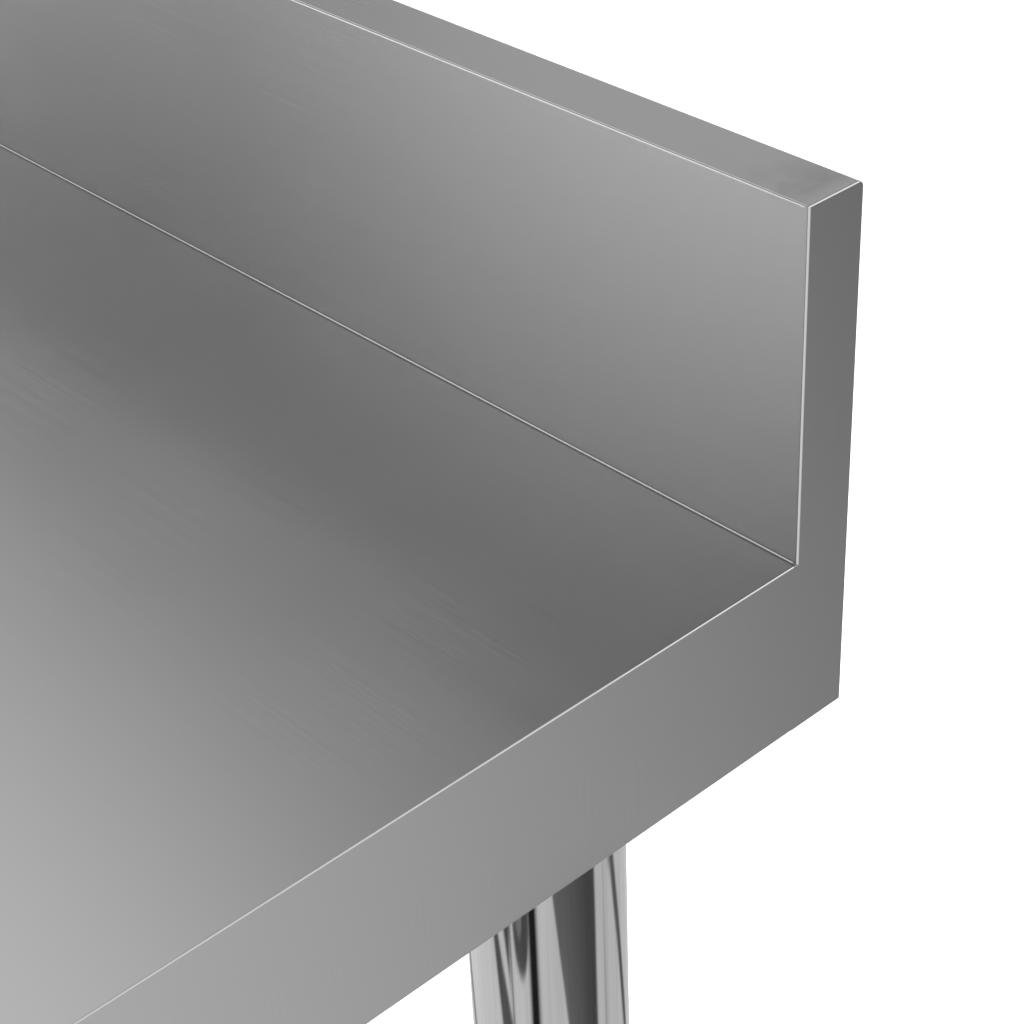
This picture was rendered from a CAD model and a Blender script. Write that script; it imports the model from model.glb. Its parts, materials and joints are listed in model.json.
"""Looks for the stainless work table: materials, small detail pieces, studio and camera.

Everything is in metres, in the table's own frame: +X right along the table, +Y to its back,
+Z up, with the origin on the floor under its middle.
"""
import json
import math

import bmesh
import bpy
from mathutils import Matrix, Vector


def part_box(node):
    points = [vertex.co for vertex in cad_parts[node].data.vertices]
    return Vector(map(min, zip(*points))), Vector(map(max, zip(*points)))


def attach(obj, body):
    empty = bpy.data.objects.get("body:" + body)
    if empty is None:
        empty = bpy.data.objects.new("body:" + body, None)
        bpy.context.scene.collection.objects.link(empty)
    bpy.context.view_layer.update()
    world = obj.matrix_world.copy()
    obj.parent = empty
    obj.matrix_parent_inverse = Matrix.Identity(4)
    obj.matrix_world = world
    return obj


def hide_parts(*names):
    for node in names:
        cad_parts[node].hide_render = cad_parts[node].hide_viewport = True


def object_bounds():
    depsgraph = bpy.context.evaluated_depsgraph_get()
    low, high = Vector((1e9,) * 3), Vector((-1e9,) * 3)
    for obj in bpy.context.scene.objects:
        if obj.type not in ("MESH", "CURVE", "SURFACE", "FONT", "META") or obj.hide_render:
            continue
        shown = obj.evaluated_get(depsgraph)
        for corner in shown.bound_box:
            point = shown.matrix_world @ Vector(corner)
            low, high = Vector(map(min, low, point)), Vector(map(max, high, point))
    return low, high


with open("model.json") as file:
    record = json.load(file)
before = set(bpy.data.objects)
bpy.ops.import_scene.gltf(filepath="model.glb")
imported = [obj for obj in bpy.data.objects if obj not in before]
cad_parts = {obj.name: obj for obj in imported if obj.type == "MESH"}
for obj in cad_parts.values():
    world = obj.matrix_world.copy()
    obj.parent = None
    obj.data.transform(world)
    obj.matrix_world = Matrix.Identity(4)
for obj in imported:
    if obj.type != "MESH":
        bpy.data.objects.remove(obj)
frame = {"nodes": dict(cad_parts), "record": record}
CAD_LOW, CAD_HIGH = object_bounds()
NODES = frame["nodes"]
MM = 0.001

# the upstand's own sizes, as in the CAD model
UPSTAND_HEIGHT = 82 * MM
UPSTAND_DEPTH = 16 * MM
UPSTAND_FRONT = CAD_HIGH.y - UPSTAND_DEPTH
WORKTOP_LEVEL = CAD_HIGH.z - UPSTAND_HEIGHT


# ---- shader helpers -------------------------------------------------------------------------


class Shader:
    """A node tree with short calls for the few nodes that the materials use."""

    def __init__(self, tree):
        self.tree = tree
        tree.nodes.clear()

    def node(self, kind, **settings):
        made = self.tree.nodes.new(kind)
        for name, value in settings.items():
            setattr(made, name, value)
        return made

    def plug(self, socket, value):
        """Links an output, or sets a plain value."""
        if isinstance(value, bpy.types.NodeSocket):
            self.tree.links.new(value, socket)
        else:
            socket.default_value = value

    def math(self, operation, a, b=0.0):
        made = self.node("ShaderNodeMath", operation=operation)
        self.plug(made.inputs[0], a)
        self.plug(made.inputs[1], b)
        return made.outputs[0]

    def combine(self, x, y, z):
        made = self.node("ShaderNodeCombineXYZ")
        for socket, value in zip(made.inputs, (x, y, z)):
            self.plug(socket, value)
        return made.outputs[0]

    def ramp(self, value, low, high, out_low=0.0, out_high=1.0, smooth=False):
        made = self.node("ShaderNodeMapRange")
        made.interpolation_type = "SMOOTHSTEP" if smooth else "LINEAR"
        for name, given in (
            ("Value", value),
            ("From Min", low),
            ("From Max", high),
            ("To Min", out_low),
            ("To Max", out_high),
        ):
            self.plug(made.inputs[name], given)
        return made.outputs[0]

    def mix(self, factor, a, b):
        """Between two colours, or two shades of grey given as numbers."""
        made = self.node("ShaderNodeMix", data_type="RGBA")
        self.plug(made.inputs[0], factor)
        for socket, value in ((made.inputs[6], a), (made.inputs[7], b)):
            self.plug(socket, grey(value) if isinstance(value, float) else value)
        return made.outputs[2]

    def blend(self, factor, a, b):
        """Between two numbers."""
        made = self.node("ShaderNodeMix", data_type="FLOAT")
        for socket, value in zip(made.inputs[:1] + made.inputs[2:4], (factor, a, b)):
            self.plug(socket, value)
        return made.outputs[0]

    def noise(self, vector, scale, detail=2.0, roughness=0.5):
        made = self.node("ShaderNodeTexNoise")
        self.plug(made.inputs["Vector"], vector)
        made.inputs["Scale"].default_value = scale
        made.inputs["Detail"].default_value = detail
        made.inputs["Roughness"].default_value = roughness
        return made.outputs["Fac"]

    def cells(self, vector, scale):
        """A random colour for each cell of a crystal pattern."""
        made = self.node("ShaderNodeTexVoronoi", feature="F1")
        self.plug(made.inputs["Vector"], vector)
        made.inputs["Scale"].default_value = scale
        return made.outputs["Color"]

    def bump(self, height, strength, distance, after=None):
        made = self.node("ShaderNodeBump")
        made.inputs["Strength"].default_value = strength
        made.inputs["Distance"].default_value = distance
        self.plug(made.inputs["Height"], height)
        if after is not None:
            self.plug(made.inputs["Normal"], after)
        return made.outputs["Normal"]

    def place(self):
        """The point's place on the object, as a vector."""
        return self.node("ShaderNodeTexCoord").outputs["Object"]

    def axes(self, vector):
        """The x, y and z of a vector."""
        split = self.node("ShaderNodeSeparateXYZ")
        self.plug(split.inputs[0], vector)
        return list(split.outputs)

    def stretched(self, x, y, z, by_x, by_y, by_z):
        """The place x, y, z with each axis scaled, for a texture that runs along one of them."""
        scaled = [self.math("MULTIPLY", value, by) for value, by in ((x, by_x), (y, by_y), (z, by_z))]
        return self.combine(*scaled)

    def facing(self):
        """How far the surface faces along X, Y and Z, as sizes from 0 to 1."""
        normal = self.node("ShaderNodeNewGeometry").outputs["True Normal"]
        return [self.math("ABSOLUTE", size) for size in self.axes(normal)]

    def surface(self, colour, roughness, normal=None, **constants):
        """The principled shader. The constants are its other sockets, set directly."""
        made = self.node("ShaderNodeBsdfPrincipled")
        self.plug(made.inputs["Base Color"], colour)
        self.plug(made.inputs["Roughness"], roughness)
        if normal is not None:
            self.plug(made.inputs["Normal"], normal)
        for name, value in constants.items():
            made.inputs[name.replace("_", " ")].default_value = value
        return made

    def show(self, shader, output="ShaderNodeOutputMaterial"):
        """Makes a shader the tree's result."""
        self.plug(self.node(output).inputs["Surface"], shader.outputs[0])

    def finish(self, colour, roughness, normal=None, **constants):
        self.show(self.surface(colour, roughness, normal, **constants))


def grey(value):
    return (value, value, value, 1.0)


def new_material(name):
    material = bpy.data.materials.new(name)
    material.use_nodes = True
    return material, Shader(material.node_tree)


# ---- materials ------------------------------------------------------------------------------


def satin_stainless():
    """Sheet with a fine grain along the table that turns down its ends with the fold."""
    material, s = new_material("satin_stainless")
    vector = s.place()
    x, y, z = s.axes(vector)
    _, faces_y, _ = s.facing()
    upright = s.math("GREATER_THAN", faces_y, 0.7)
    across = s.blend(upright, y, z)
    along = s.math("ADD", x, s.math("MULTIPLY", z, s.math("SUBTRACT", 1.0, upright)))
    grain_at = s.combine(s.math("MULTIPLY", along, 14.0), s.math("MULTIPLY", across, 2600.0), 0.0)
    grain = s.noise(grain_at, 1.0, 2.0, 0.6)
    broad = s.noise(vector, 2.3, 2.0)
    cloud = s.noise(vector, 19.0, 3.0)
    tone = s.math("ADD", s.ramp(grain, 0.3, 0.7, -0.008, 0.008), s.ramp(cloud, 0.3, 0.7, -0.003, 0.003))
    shade = s.math("ADD", tone, s.ramp(broad, 0.3, 0.7, 0.615, 0.625))
    shade = s.math("MULTIPLY", shade, s.ramp(heat_tint(s, x, z, vector), 0.0, 1.0, 1.0, 0.8))
    shade = s.math("MULTIPLY", shade, s.ramp(crease_grime(s, y, z), 0.0, 1.0, 1.0, 0.55))
    spots = spot_welds(s, x, y, z)
    shade = s.math("MULTIPLY", shade, s.ramp(spots, 0.0, 1.0, 1.0, 0.72))
    colour = s.combine(shade, shade, shade)
    roughness = s.math(
        "ADD", s.ramp(grain, 0.3, 0.7, 0.225, 0.255), s.ramp(cloud, 0.3, 0.7, -0.005, 0.005)
    )
    slow = s.bump(broad, 0.2, 0.001)
    normal = s.bump(grain, 0.05, 0.00001, slow)
    s.finish(colour, roughness, normal, Metallic=1.0)
    return material


def heat_tint(s, x, z, vector):
    """Faint smudges that welding and polishing leave at the ends of the upstand's top."""
    high = s.ramp(z, CAD_HIGH.z - 2 * MM, CAD_HIGH.z - 0.5 * MM)
    end = s.math("SUBTRACT", CAD_HIGH.x, s.math("ABSOLUTE", x))
    near_end = s.math("MULTIPLY", s.ramp(end, 1 * MM, 5 * MM), s.ramp(end, 22 * MM, 6 * MM))
    patchy = s.ramp(s.noise(vector, 90.0, 2.0), 0.35, 0.65, smooth=True)
    return s.math("MULTIPLY", s.math("MULTIPLY", high, near_end), patchy)


def spot_welds(s, x, y, z):
    """Heat-marked rings where the lip behind the upstand is welded to the rear panel."""
    spacing = 75 * MM
    across = s.math("MULTIPLY", s.math("PINGPONG", s.math("DIVIDE", x, spacing), 0.5), spacing)
    above = s.math("SUBTRACT", z, CAD_HIGH.z - 13 * MM)
    away = s.math("SQRT", s.math("ADD", s.math("POWER", across, 2.0), s.math("POWER", above, 2.0)))
    ring = s.math("MULTIPLY", s.ramp(away, 1.6 * MM, 2.6 * MM, 0.4, 1.0), s.ramp(away, 5 * MM, 3 * MM))
    return s.math("MULTIPLY", ring, s.math("GREATER_THAN", y, CAD_HIGH.y - 0.2 * MM))


def crease_grime(s, y, z):
    """The dark line that polish leaves in the worktop's crease under the upstand."""
    gap = s.math("SUBTRACT", UPSTAND_FRONT, y)
    band = s.math("MULTIPLY", s.ramp(gap, 0.15 * MM, 0.3 * MM), s.ramp(gap, 0.9 * MM, 0.6 * MM))
    level = s.math("ABSOLUTE", s.math("SUBTRACT", z, WORKTOP_LEVEL))
    return s.math("MULTIPLY", band, s.ramp(level, 0.5 * MM, 0.3 * MM))


def polished_stainless():
    """Drawn tube, polished bright, with the faint lengthways lines that drawing leaves."""
    material, s = new_material("polished_stainless")
    x, y, z = s.axes(s.place())
    lines = s.noise(s.stretched(x, y, z, 700.0, 700.0, 4.0), 1.0, 3.0, 0.6)
    ripple = s.noise(s.stretched(x, y, z, 60.0, 60.0, 7.0), 1.0, 1.0)
    shade = s.ramp(lines, 0.3, 0.7, 0.60, 0.66)
    colour = s.combine(shade, shade, shade)
    roughness = s.ramp(lines, 0.3, 0.7, 0.06, 0.11)
    normal = s.bump(lines, 0.10, 0.00003, s.bump(ripple, 0.35, 0.0006))
    s.finish(colour, roughness, normal, Metallic=1.0)
    return material


def galvanised_steel():
    """Zinc-coated sheet with its spangle."""
    material, s = new_material("galvanised_steel")
    vector = s.place()
    warped = s.node("ShaderNodeVectorMath", operation="ADD")
    s.plug(warped.inputs[0], vector)
    wobble = s.math("MULTIPLY", s.noise(vector, 40.0, 2.0), 0.02)
    s.plug(warped.inputs[1], s.combine(wobble, wobble, wobble))
    spangle = s.node("ShaderNodeSeparateColor")
    s.plug(spangle.inputs[0], s.cells(warped.outputs[0], 110.0))
    shade = s.ramp(spangle.outputs[0], 0.0, 1.0, 0.42, 0.60)
    colour = s.combine(shade, s.math("MULTIPLY", shade, 1.02), s.math("MULTIPLY", shade, 1.05))
    roughness = s.ramp(spangle.outputs[1], 0.0, 1.0, 0.34, 0.52)
    normal = s.bump(spangle.outputs[2], 0.10, 0.0002)
    s.finish(colour, roughness, normal, Metallic=1.0)
    return material


def cast_aluminium():
    """A tumbled casting: grainy skin with soft darker patches."""
    material, s = new_material("cast_aluminium")
    vector = s.place()
    skin = s.noise(vector, 900.0, 3.0, 0.65)
    patch = s.noise(vector, 60.0, 3.0)
    shade = s.math("ADD", s.ramp(patch, 0.3, 0.7, 0.47, 0.60), s.ramp(skin, 0.3, 0.7, -0.04, 0.04))
    colour = s.combine(shade, shade, s.math("MULTIPLY", shade, 1.015))
    roughness = s.ramp(patch, 0.3, 0.7, 0.42, 0.58)
    s.finish(colour, roughness, s.bump(skin, 0.5, 0.0002), Metallic=1.0)
    return material


def zinc_plated_steel():
    """Bright zinc with a slight yellow and blue passivation tint."""
    material, s = new_material("zinc_plated_steel")
    vector = s.place()
    tint = s.ramp(s.noise(vector, 150.0, 2.0), 0.35, 0.65)
    colour = s.mix(tint, (0.56, 0.60, 0.66, 1.0), (0.66, 0.64, 0.56, 1.0))
    scuff = s.noise(vector, 1500.0, 3.0)
    roughness = s.ramp(scuff, 0.3, 0.7, 0.22, 0.38)
    s.finish(colour, roughness, s.bump(scuff, 0.15, 0.00005), Metallic=1.0)
    return material


def black_steel():
    """Black oxide on a turned screw."""
    material, s = new_material("black_steel")
    vector = s.place()
    wear = s.noise(vector, 800.0, 4.0)
    colour = s.mix(s.ramp(wear, 0.45, 0.75), 0.02, 0.09)
    s.finish(colour, s.ramp(wear, 0.3, 0.7, 0.3, 0.5), s.bump(wear, 0.2, 0.00005), Metallic=0.8)
    return material


def moulded_plastic(name, dark, light, texture, gloss):
    """A moulding with a spark-eroded texture and light scuffs."""
    material, s = new_material(name)
    vector = s.place()
    x, y, z = s.axes(vector)
    pits = s.noise(vector, texture, 3.0, 0.6)
    scuffs = s.noise(s.stretched(x, y, z, 90.0, 90.0, 400.0), 1.0, 4.0)
    colour = s.mix(s.ramp(scuffs, 0.35, 0.75), dark, light)
    roughness = s.ramp(pits, 0.3, 0.7, gloss, gloss + 0.16)
    s.finish(colour, roughness, s.bump(pits, 0.35, 0.0001), Specular_IOR_Level=0.45)
    return material


def butyl_pad():
    """Soft black damping sheet with a woven backing's faint imprint."""
    material, s = new_material("butyl_pad")
    vector = s.place()
    x, y, _ = s.axes(vector)
    weave = s.math(
        "MULTIPLY",
        s.math("SINE", s.math("MULTIPLY", x, 3000.0)),
        s.math("SINE", s.math("MULTIPLY", y, 3000.0)),
    )
    dust = s.noise(vector, 30.0, 4.0)
    colour = s.mix(s.ramp(dust, 0.4, 0.7), 0.018, 0.045)
    s.finish(colour, s.ramp(dust, 0.3, 0.7, 0.6, 0.8), s.bump(weave, 0.3, 0.0001))
    return material


MATERIALS = {
    "satin_stainless": satin_stainless(),
    "polished_stainless": polished_stainless(),
    "galvanised_steel": galvanised_steel(),
    "cast_aluminium": cast_aluminium(),
    "zinc_plated_steel": zinc_plated_steel(),
    "black_steel": black_steel(),
    "grey_plastic": moulded_plastic("grey_plastic", 0.075, 0.12, 2200.0, 0.38),
    "black_nylon": moulded_plastic("black_nylon", 0.012, 0.03, 1600.0, 0.42),
    "glide_nylon": moulded_plastic("glide_nylon", 0.03, 0.07, 1300.0, 0.5),
    "butyl_pad": butyl_pad(),
}


def dress_cad_nodes():
    """Each node that the CAD made takes the material of its slot."""
    for part in frame["record"]["subparts"]:
        mesh = NODES[part["node"]].data
        mesh.materials.clear()
        mesh.materials.append(MATERIALS[part["material_slot"]])


# ---- detail pieces --------------------------------------------------------------------------

BOLT_RADIUS = 3 * MM
BOLT_PITCH = 1 * MM
BOLT_THREAD = 4 * MM
HEAD_HEIGHT = 4 * MM
WASHER_HEIGHT = 0.4 * MM
DISH_DEPTH = 0.3 * MM  # of the hollow in the top of a bolt's head
BORE_RADIUS = BOLT_RADIUS + 0.05 * MM
COUNTERSINK = 0.4 * MM
STEM_PITCH = 1.5 * MM
STEM_RUNOUT = 30 * MM  # the plain length below a stem's thread
FLAT_RADIUS = 5 * MM  # from a hexagon's middle to its flats
CHAMFER_RADIUS = 4.8 * MM
CHAMFER_SLOPE = 0.577  # 30 degrees
THREAD_DEPTH = 0.54  # as a share of the pitch
LEVELS_PER_TURN = 6  # rings for each turn of a thread
ROUND_STEPS = 24
HEX_STEPS = 36


def solids_in(node, reach=12 * MM):
    """Lowest and highest corner of each upright solid in a node, told apart by their places."""
    groups = []
    for vertex in NODES[node].data.vertices:
        for group in groups:
            if (vertex.co - group[0]).xy.length < reach:
                group.append(vertex.co.copy())
                break
        else:
            groups.append([vertex.co.copy()])
    return [(Vector(map(min, zip(*group))), Vector(map(max, zip(*group)))) for group in groups]


def circle(radius, height, steps=HEX_STEPS):
    return [
        (radius * math.cos(turn), radius * math.sin(turn), height)
        for turn in (2 * math.pi * step / steps for step in range(steps))
    ]


def hexagon(height, slope=0.0):
    """A hexagon's outline, whose height falls off towards its corners as a chamfer does."""
    points = []
    for step in range(HEX_STEPS):
        turn = 2 * math.pi * step / HEX_STEPS
        radius = FLAT_RADIUS / math.cos(turn % (math.pi / 3) - math.pi / 6)
        fall = (radius - CHAMFER_RADIUS) * slope
        points.append((radius * math.cos(turn), radius * math.sin(turn), height - fall))
    return points


def thread(radius, pitch, low, high):
    """Rings of a right-hand thread with a 60 degree profile and a tapered upper end."""
    depth = THREAD_DEPTH * pitch
    rings = []
    count = math.ceil((high - low) / (pitch / LEVELS_PER_TURN))
    for level in range(count + 1):
        height = low + (high - low) * level / count
        taper = min(1.0, (high - height) / pitch)
        ring = []
        for step in range(ROUND_STEPS):
            turn = 2 * math.pi * step / ROUND_STEPS
            phase = (height / pitch - step / ROUND_STEPS) % 1.0
            groove = abs(2 * phase - 1) * taper + (1 - taper)
            reach = radius - depth * groove
            ring.append((reach * math.cos(turn), reach * math.sin(turn), height))
        rings.append(ring)
    return rings


def add_stack(shape, rings, centre, flip=False, loop=False):
    """Skins rings of equal counts into a closed solid round a centre, turned over if asked."""
    sense = -1 if flip else 1
    rows = []
    for ring in rings:
        rows.append([shape.verts.new(centre + Vector((x, sense * y, sense * z))) for x, y, z in ring])
    pairs = list(zip(rows, rows[1:]))
    if loop:
        pairs.append((rows[-1], rows[0]))
    for lower, upper in pairs:
        for i in range(len(lower)):
            k = (i + 1) % len(lower)
            shape.faces.new((lower[i], lower[k], upper[k], upper[i]))
    if not loop:
        shape.faces.new(reversed(rows[0]))
        shape.faces.new(rows[-1])


def finish_piece(name, shape, body, slot, replaced):
    bmesh.ops.recalc_face_normals(shape, faces=shape.faces)
    mesh = bpy.data.meshes.new(name)
    shape.to_mesh(mesh)
    shape.free()
    mesh.materials.append(MATERIALS[slot])
    piece = bpy.data.objects.new(name, mesh)
    bpy.context.scene.collection.objects.link(piece)
    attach(piece, body)
    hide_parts(replaced)


def make_bolts(name, node, body, head_up):
    """Hexagon bolts with a washer face, a chamfered head and a threaded end."""
    shape = bmesh.new()
    for low, high in solids_in(node):
        bearing = high.z - HEAD_HEIGHT if head_up else low.z + HEAD_HEIGHT
        centre = Vector(((low.x + high.x) / 2, (low.y + high.y) / 2, bearing))
        length = high.z - low.z - HEAD_HEIGHT
        head = [
            circle(CHAMFER_RADIUS * 0.98, 0),
            circle(CHAMFER_RADIUS, WASHER_HEIGHT),
            hexagon(WASHER_HEIGHT),
            hexagon(HEAD_HEIGHT, CHAMFER_SLOPE),
            circle(CHAMFER_RADIUS, HEAD_HEIGHT),
            circle(CHAMFER_RADIUS * 0.6, HEAD_HEIGHT),
            circle(CHAMFER_RADIUS * 0.5, HEAD_HEIGHT - DISH_DEPTH),
        ]
        add_stack(shape, head, centre, flip=not head_up)
        plain = length - BOLT_THREAD
        shank = [circle(BOLT_RADIUS, 0.0, ROUND_STEPS), circle(BOLT_RADIUS, plain, ROUND_STEPS)]
        shank += thread(BOLT_RADIUS, BOLT_PITCH, plain, length)
        add_stack(shape, shank, centre, flip=head_up)
    finish_piece(name, shape, body, "zinc_plated_steel", node)


def make_nuts(name, node, body):
    """Hexagon nuts, chamfered on both faces and countersunk at both ends of the bore."""
    shape = bmesh.new()
    for low, high in solids_in(node):
        centre = Vector(((low.x + high.x) / 2, (low.y + high.y) / 2, low.z))
        height = high.z - low.z
        rings = [
            circle(BORE_RADIUS + COUNTERSINK, 0),
            circle(CHAMFER_RADIUS, 0),
            hexagon(0, -CHAMFER_SLOPE),
            hexagon(height, CHAMFER_SLOPE),
            circle(CHAMFER_RADIUS, height),
            circle(BORE_RADIUS + COUNTERSINK, height),
            circle(BORE_RADIUS, height - COUNTERSINK),
            circle(BORE_RADIUS, COUNTERSINK),
        ]
        add_stack(shape, rings, centre, loop=True)
    finish_piece(name, shape, body, "zinc_plated_steel", node)


def make_stems():
    """The feet's threaded stems, which turn with the feet."""
    bodies = frame["record"]["behaviour"]["bodies"]
    for part in frame["record"]["subparts"]:
        node = part["node"]
        if not node.startswith("foot_stem_"):
            continue
        low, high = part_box(node)
        body = next(name for name, held in bodies.items() if node in held)
        radius, length = (high.x - low.x) / 2, high.z - low.z
        rings = [circle(radius, 0, ROUND_STEPS), circle(radius, STEM_RUNOUT, ROUND_STEPS)]
        rings += thread(radius, STEM_PITCH, STEM_RUNOUT, length)
        shape = bmesh.new()
        add_stack(shape, rings, Vector(((low.x + high.x) / 2, (low.y + high.y) / 2, low.z)))
        finish_piece("threaded_" + node, shape, body, "zinc_plated_steel", node)


def make_details():
    make_bolts("hex_bolts_sockets", "socket_bolts", "table_frame", head_up=False)
    make_bolts("hex_bolts_shelf", "shelf_bolts", "undershelf", head_up=True)
    make_nuts("hex_nuts_sockets", "socket_nuts", "table_frame")
    make_nuts("hex_nuts_shelf", "shelf_nuts", "undershelf")
    make_stems()


# ---- studio ---------------------------------------------------------------------------------


def direction(azimuth, elevation):
    """A unit vector: azimuth from +Y towards +X, elevation above the horizon, in degrees."""
    turn, rise = math.radians(azimuth), math.radians(elevation)
    return Vector((math.sin(turn) * math.cos(rise), math.cos(turn) * math.cos(rise), math.sin(rise)))


SOFTBOXES = [
    # azimuth, elevation, brightness, angle to the outer edge, angle to the full core
    (-84, 49, 0.86, 30, 1),  # high on the left: the pale left end of the worktop
    (-142, 18, 1.55, 16.5, 9),  # front left: the fold along the upstand's top
    (130, -23, 0.93, 100, 1),  # wide and low at the front right: the side apron
    (-41, 28, 0.45, 12, 9.5),  # behind, narrow: the upstand's top return
    (-88, -31, 1.5, 63, 52),  # low on the left: the upstand's face
    (18, 28, 0.95, 30, 12),  # behind on the right: the end cap's upper edge
    (8, 60, 0.6, 32, 8),  # high behind: the start of the right-hand edges
    (60, 44, 0.75, 34, 10),  # right: the side apron's upper edge
    (-30, -15, 1.1, 38, 12),  # low behind: the rims of the outline
    (-118, 45, 0.12, 18, 4),  # fills between the first two
    (180, 80, 0.8, 30, 12),  # overhead: the flat tops as seen from above
]
AMBIENT = 0.04


def make_world():
    """A dim room with large soft lights, each a smooth lobe about its own direction."""
    world = bpy.data.worlds.new("studio")
    world.use_nodes = True
    bpy.context.scene.world = world
    s = Shader(world.node_tree)
    towards = s.node("ShaderNodeTexCoord").outputs["Generated"]
    total = AMBIENT
    for azimuth, elevation, brightness, outer, core in SOFTBOXES:
        aim = s.node("ShaderNodeVectorMath", operation="DOT_PRODUCT")
        s.plug(aim.inputs[0], towards)
        aim.inputs[1].default_value = direction(azimuth, elevation)
        edge, full = math.cos(math.radians(outer)), math.cos(math.radians(core))
        glow = s.ramp(aim.outputs["Value"], edge, full, 0.0, brightness, smooth=True)
        total = s.math("ADD", glow, total)
    light = s.node("ShaderNodeBackground")
    s.plug(light.inputs["Color"], s.combine(total, total, total))
    s.show(light, "ShaderNodeOutputWorld")


FLOOR_REACH = 9.0
FLOOR_GLOW = 0.3
WALL_RADIUS = 8.9
WALL_GLOW = 1.0
GLOW_STARTS, GLOW_ENDS = 1.5, 6.0  # metres from the point under the table's middle


def add_backdrop(name, mesh, near_glow, hidden_from):
    """A pale one-sided stage piece. Its glow grows to white far away, and metal doesn't mirror it."""
    material, s = new_material(name)
    vector = s.place()
    pale = s.ramp(s.noise(vector, 3.0, 2.0), 0.3, 0.7, 0.79, 0.81)
    away = s.node("ShaderNodeVectorMath", operation="LENGTH")
    s.plug(away.inputs[0], vector)
    glow = s.ramp(away.outputs["Value"], GLOW_STARTS, GLOW_ENDS, near_glow, 1.0, smooth=True)
    surface = s.surface(s.combine(pale, pale, pale), 0.9, Emission_Color=grey(1.0))
    s.plug(surface.inputs["Emission Strength"], glow)
    one_sided = s.node("ShaderNodeMixShader")
    s.plug(one_sided.inputs[0], s.node("ShaderNodeNewGeometry").outputs["Backfacing"])
    s.plug(one_sided.inputs[1], surface.outputs[0])
    s.plug(one_sided.inputs[2], s.node("ShaderNodeBsdfTransparent").outputs[0])
    s.show(one_sided)
    mesh.materials.append(material)
    backdrop = bpy.data.objects.new(name, mesh)
    for kind in hidden_from:
        setattr(backdrop, f"visible_{kind}", False)
    bpy.context.scene.collection.objects.link(backdrop)


def make_floor():
    reach = FLOOR_REACH
    corners = [(-reach, -reach), (reach, -reach), (reach, reach), (-reach, reach)]
    mesh = bpy.data.meshes.new("studio_floor")
    mesh.from_pydata([(x, y, CAD_LOW.z - 0.1 * MM) for x, y in corners], [], [(0, 1, 2, 3)])
    add_backdrop("studio_floor", mesh, FLOOR_GLOW, ["glossy"])


def make_walls():
    """A round white wall far behind everything, seen only by the camera and from inside."""
    shape = bmesh.new()
    bmesh.ops.create_uvsphere(shape, u_segments=64, v_segments=32, radius=WALL_RADIUS)
    bmesh.ops.reverse_faces(shape, faces=shape.faces)
    mesh = bpy.data.meshes.new("studio_wall")
    shape.to_mesh(mesh)
    shape.free()
    add_backdrop("studio_wall", mesh, WALL_GLOW, ["glossy", "diffuse", "transmission", "shadow"])


def add_reflection(name, mesh):
    """Adds a stage piece that shows only in reflections."""
    made = bpy.data.objects.new(name, mesh)
    for kind in ("camera", "diffuse", "transmission", "volume_scatter", "shadow"):
        setattr(made, f"visible_{kind}", False)
    bpy.context.scene.collection.objects.link(made)
    return made


LEG_STREAKS = [
    # azimuths of both edges at the low height, then at the high one, shades there, softness
    (11, 26, 29, 44, 0.12, 0.12, 6),
    (44, 52, 46, 56, 0.5, 0.5, 4),
    (68.5, 113, 69, 126, 0.055, 0.18, 3),
    (142, 159, 142, 159, 0.01, 0.01, 6),
    (177.5, 183, 177.5, 183, 0.2, 0.2, 3),
    (182, 183, 178, 196, 0.07, 0.07, 4),
    (183, 203, 205, 213, 0.11, 0.11, 5),
    (266, 284, 284, 300, 0.3, 0.3, 7),
]
STREAK_HEIGHTS = (0.709, 0.751)
LEG_PATCHES = [
    # azimuth, height of the upper end, half the width in degrees, depth, shade
    (166, 0.745, 10.5, 0.024, 0.09),
    (168, 0.748, 5.0, 0.012, 0.22),
]
RING_RADIUS = 0.075
RING_BOTTOM, RING_TOP = 0.60, 0.80
RING_FULL = 0.68  # the height up to which the ring fades in from its bottom
RING_STEPS = 72
RING_SEAM = -49.0  # the azimuth that the others count up from


def patch(s, turn, z, azimuth, height, half_width, depth):
    """Marks a rounded patch of the ring that hangs down from a height."""
    across = s.math("DIVIDE", s.math("SUBTRACT", turn, azimuth), half_width)
    down = s.math("MAXIMUM", s.math("DIVIDE", s.math("SUBTRACT", height, z), depth), 0.0)
    away = s.math("ADD", s.math("POWER", across, 2.0), s.math("POWER", down, 2.0))
    return s.ramp(away, 1.15, 0.75, smooth=True)


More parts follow.
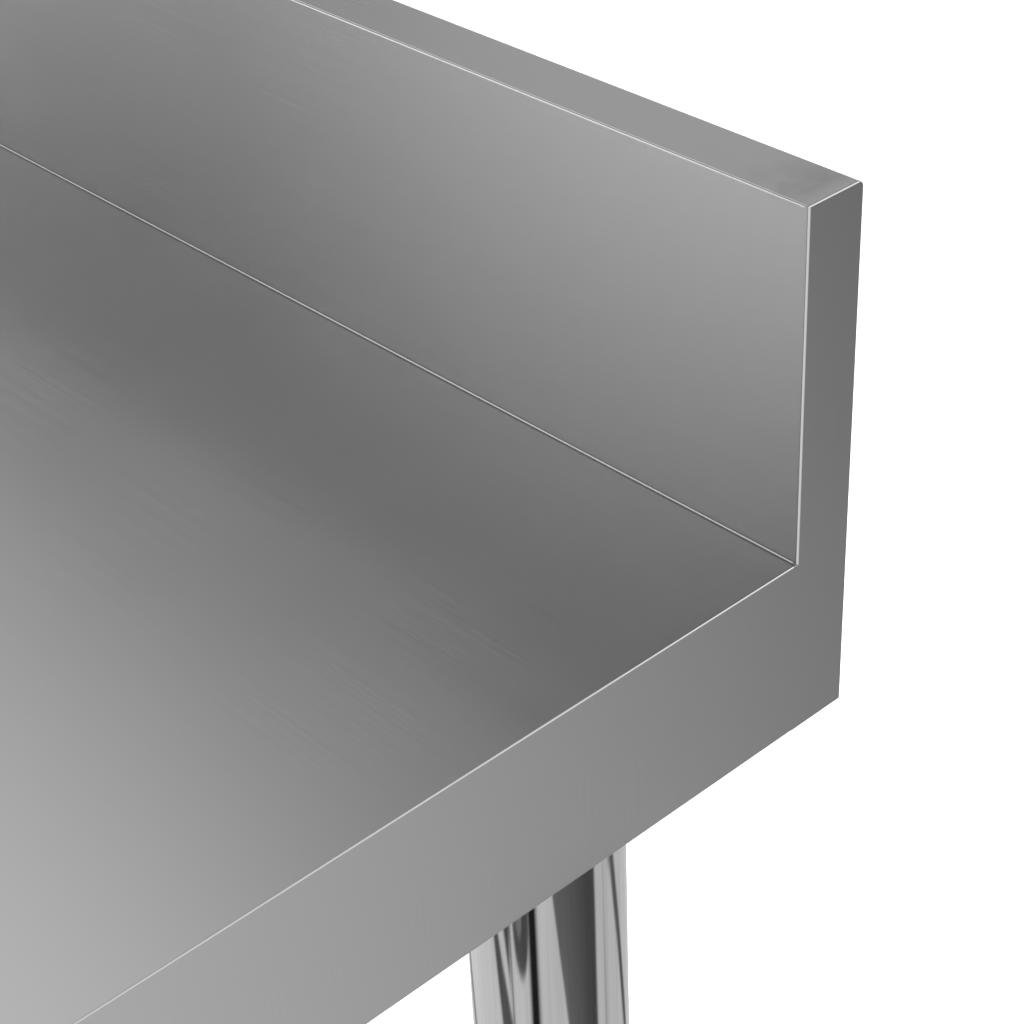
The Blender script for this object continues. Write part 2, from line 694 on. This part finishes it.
def make_leg_cove():
    """A ring of light and dark round the top of the right rear leg, for its mirror streaks.

    It only shows in reflections. Azimuths go once round the leg from its seam.
    """
    material, s = new_material("leg_cove")
    x, y, z = s.axes(s.place())
    turn = s.math("MULTIPLY", s.math("ARCTAN2", x, y), 180 / math.pi)
    turn = s.math("ADD", turn, s.math("MULTIPLY", s.math("LESS_THAN", turn, RING_SEAM), 360.0))
    rise = s.ramp(z, *STREAK_HEIGHTS)
    rise.node.clamp = False
    value = s.ramp(turn, 0.0, 240.0, 0.64, 0.78)
    for low_left, low_right, high_left, high_right, shade_left, shade_right, soft in LEG_STREAKS:
        left = s.math("ADD", s.math("MULTIPLY", rise, high_left - low_left), low_left)
        right = s.math("ADD", s.math("MULTIPLY", rise, high_right - low_right), low_right)
        inside = s.math("SUBTRACT", turn, left)
        beyond = s.math("SUBTRACT", right, turn)
        mask = s.ramp(s.math("MINIMUM", inside, beyond), 0.0, soft, smooth=True)
        shade = s.ramp(turn, left, right, shade_left, shade_right)
        value = s.blend(mask, value, shade)
    for azimuth, height, half_width, depth, shade in LEG_PATCHES:
        value = s.blend(patch(s, turn, z, azimuth, height, half_width, depth), value, shade)
    lines = s.noise(s.stretched(turn, 0.0, z, 0.22, 0.0, 9.0), 1.0, 3.0)
    value = s.math("MULTIPLY", value, s.ramp(lines, 0.3, 0.7, 0.9, 1.08))
    glow = s.node("ShaderNodeEmission")
    s.plug(glow.inputs["Color"], s.combine(value, value, value))
    fade = s.node("ShaderNodeMixShader")
    s.plug(fade.inputs[0], s.ramp(z, RING_BOTTOM, RING_FULL, smooth=True))
    s.plug(fade.inputs[1], s.node("ShaderNodeBsdfTransparent").outputs[0])
    s.plug(fade.inputs[2], glow.outputs[0])
    s.show(fade)

    low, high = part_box("leg_rear_right")
    steps = RING_STEPS
    points = circle(RING_RADIUS, RING_BOTTOM, steps) + circle(RING_RADIUS, RING_TOP, steps)
    faces = [(i, (i + 1) % steps, steps + (i + 1) % steps, steps + i) for i in range(steps)]
    mesh = bpy.data.meshes.new("leg_cove")
    mesh.from_pydata(points, [], faces)
    mesh.materials.append(material)
    cove = add_reflection("leg_cove", mesh)
    cove.location = ((low[0] + high[0]) / 2, (low[1] + high[1]) / 2, 0)


REAR_LOW, REAR_HIGH = Vector((-3.0, 3.2, -1.2)), Vector((1.7, 3.2, 1.6))
REAR_BORDER = 0.9  # the width over which it fades out
REAR_BRIGHTNESS = 0.5


def make_rear_glow():
    """A soft patch of light behind the table that only its back and its edges mirror."""
    low, high = REAR_LOW, REAR_HIGH
    material, s = new_material("rear_glow")
    x, _, z = s.axes(s.place())
    side = s.math("MINIMUM", s.math("SUBTRACT", x, low.x), s.math("SUBTRACT", high.x, x))
    end = s.math("MINIMUM", s.math("SUBTRACT", z, low.z), s.math("SUBTRACT", high.z, z))
    inside = s.math("MINIMUM", side, end)
    glow = s.node("ShaderNodeEmission")
    s.plug(glow.inputs["Strength"], s.ramp(inside, 0.0, REAR_BORDER, 0.0, REAR_BRIGHTNESS, smooth=True))
    both = s.node("ShaderNodeAddShader")
    s.plug(both.inputs[0], s.node("ShaderNodeBsdfTransparent").outputs[0])
    s.plug(both.inputs[1], glow.outputs[0])
    s.show(both)
    mesh = bpy.data.meshes.new("rear_glow")
    corners = [(low.x, low.z), (high.x, low.z), (high.x, high.z), (low.x, high.z)]
    mesh.from_pydata([(x, low.y, z) for x, z in corners], [], [(0, 1, 2, 3)])
    mesh.materials.append(material)
    add_reflection("rear_glow", mesh)


def make_overhead_light():
    """Lights the floor and the plastic, and is left out of the metal's reflections."""
    data = bpy.data.lights.new("overhead", "AREA")
    data.shape = "RECTANGLE"
    data.size = 3.0
    data.size_y = 2.4
    data.energy = 150.0
    light = bpy.data.objects.new("overhead", data)
    light.location = (0.4, -0.2, 2.6)
    light.visible_glossy = False
    bpy.context.scene.collection.objects.link(light)


# ---- camera ---------------------------------------------------------------------------------

# Angles are in degrees and the lens in millimetres. The place is measured in metres from the point
# of the right end's rear edge that is level with the worktop.
CAMERA_AZIMUTH = -48.28
CAMERA_ELEVATION = -34.10
CAMERA_ROLL = -2.73
CAMERA_FROM_CORNER = (0.2585, -0.3243, 0.2862)
CAMERA_LENS = 83.75


def make_camera():
    """Looks down on the right end of the upstand, from beside the table."""
    data = bpy.data.cameras.new("camera")
    data.lens = CAMERA_LENS
    data.clip_start = 0.01
    camera = bpy.data.objects.new("camera", data)
    forward = direction(CAMERA_AZIMUTH, CAMERA_ELEVATION)
    level = forward.cross(Vector((0, 0, 1))).normalized()
    upward = level.cross(forward)
    roll = math.radians(CAMERA_ROLL)
    right = level * math.cos(roll) + upward * math.sin(roll)
    top = upward * math.cos(roll) - level * math.sin(roll)
    corner = Vector((CAD_HIGH.x, CAD_HIGH.y, WORKTOP_LEVEL))
    place = corner + Vector(CAMERA_FROM_CORNER)
    camera.matrix_world = Matrix((
        (right.x, top.x, -forward.x, place.x),
        (right.y, top.y, -forward.y, place.y),
        (right.z, top.z, -forward.z, place.z),
        (0, 0, 0, 1),
    ))
    bpy.context.scene.collection.objects.link(camera)
    bpy.context.scene.camera = camera


# ---- the scene ------------------------------------------------------------------------------

bpy.context.scene.view_settings.view_transform = "Standard"
dress_cad_nodes()
make_details()
make_world()
make_floor()
make_walls()
make_leg_cove()
make_rear_glow()
make_overhead_light()
make_camera()
